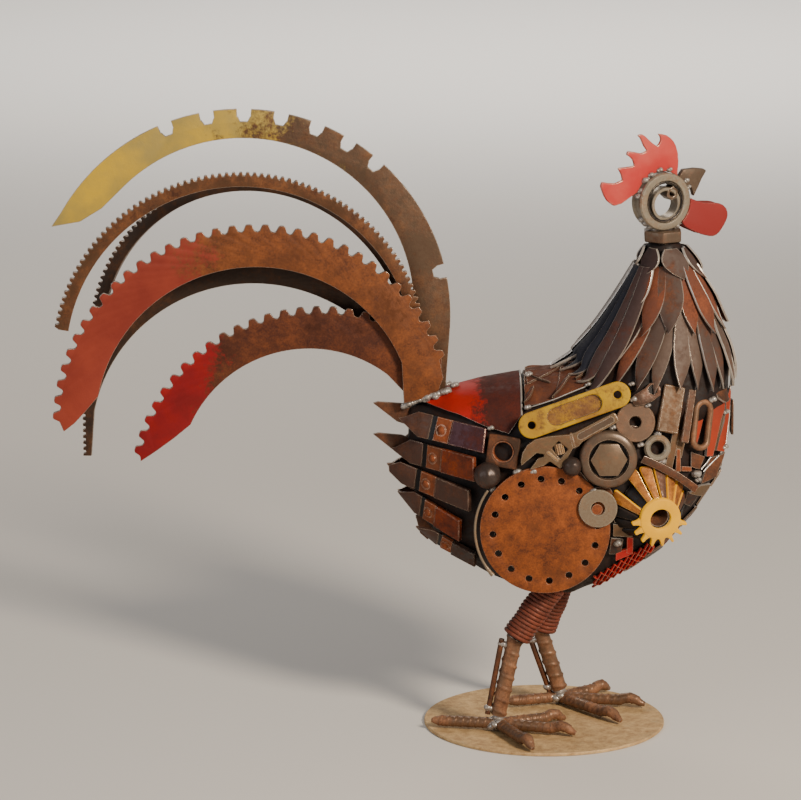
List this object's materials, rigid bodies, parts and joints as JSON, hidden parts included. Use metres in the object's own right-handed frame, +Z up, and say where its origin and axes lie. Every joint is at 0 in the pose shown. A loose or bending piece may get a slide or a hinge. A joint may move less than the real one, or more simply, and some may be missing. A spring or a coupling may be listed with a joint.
{
  "type": "scrap metal rooster sculpture",
  "caption": "Rooster welded from scrap steel: gear and ring-gear arcs for a tail, leaf-plate neck cape, scrap-clad body and bar legs on a round base plate.",
  "frame": {"origin": "centre of the round base plate's underside, on the floor", "axes": "+X the way the bird faces, +Y its left side, +Z up"},
  "size_m": [0.8176, 0.292, 0.7519],
  "materials": {
    "sandy_rust": "rough, sandy rust",
    "bar_rust": "satin, copper-brown rust",
    "spring_rust": "satin, red-brown rust",
    "dark_steel": "satin, dark oiled steel",
    "saddle_red": "worn red paint",
    "khaki_paint": "worn yellow-khaki paint",
    "bright_red": "worn bright red paint",
    "brick_red": "worn brick red paint over rust",
    "ring_rust": "satin, brown rust",
    "blade_rust": "satin, red-brown rust",
    "disc_rust": "rough, orange rust",
    "yellow_paint": "worn yellow paint",
    "grey_steel": "satin, worn steel",
    "leaf_rust": "satin, brown rust with ground edges",
    "comb_red": "worn red paint"
  },
  "bodies": {
    "root": {"base_plate": "sandy_rust", "near_foot": "bar_rust", "far_foot": "bar_rust", "near_shank": "bar_rust", "far_shank": "bar_rust", "body": "dark_steel", "near_thigh_spring": "spring_rust", "far_thigh_spring": "spring_rust", "saddle_sheet": "saddle_red", "tail_sickle_plate": "khaki_paint", "tail_lower_gear_arc": "bright_red", "tail_near_gear_arc": "brick_red", "tail_far_gear_arc": "dark_steel", "tail_near_ring_gear": "ring_rust", "tail_far_ring_gear": "dark_steel", "near_cover_disc": "disc_rust", "far_cover_disc": "disc_rust", "disc_edge_rod": "dark_steel", "square_hole_plate": "dark_steel", "large_ball": "dark_steel", "small_ball": "dark_steel", "yellow_link": "yellow_paint", "adjustable_wrench": "bar_rust", "big_round_nut": "dark_steel", "hex_bolt_head": "bar_rust", "plain_washer": "dark_steel", "ring_washer": "grey_steel", "strap_bar": "dark_steel", "bevel_gear": "yellow_paint", "chain_link": "bar_rust", "grey_bar": "grey_steel", "red_breast_bar_1": "bright_red", "red_breast_bar_2": "bright_red", "disc_washer": "grey_steel", "belly_mesh_strip": "bright_red", "far_gear_wheel": "bar_rust", "cape_top_leaves": "leaf_rust", "cape_middle_leaves": "leaf_rust", "cape_lower_leaves": "leaf_rust", "eye_ring": "grey_steel", "eye_tube": "grey_steel", "comb": "comb_red", "beak": "grey_steel", "near_wattle": "comb_red", "far_wattle": "comb_red", "collar_nut": "grey_steel", "near_blade_1": "blade_rust", "far_blade_1": "blade_rust", "near_blade_2": "blade_rust", "far_blade_2": "blade_rust", "near_blade_3": "blade_rust", "far_blade_3": "blade_rust", "near_blade_4": "blade_rust", "far_blade_4": "blade_rust", "near_blade_5": "blade_rust", "far_blade_5": "blade_rust", "rear_tooth_1": "dark_steel", "rear_tooth_2": "dark_steel", "rear_tooth_3": "dark_steel", "rear_tooth_4": "dark_steel"}
  },
  "joints": []
}
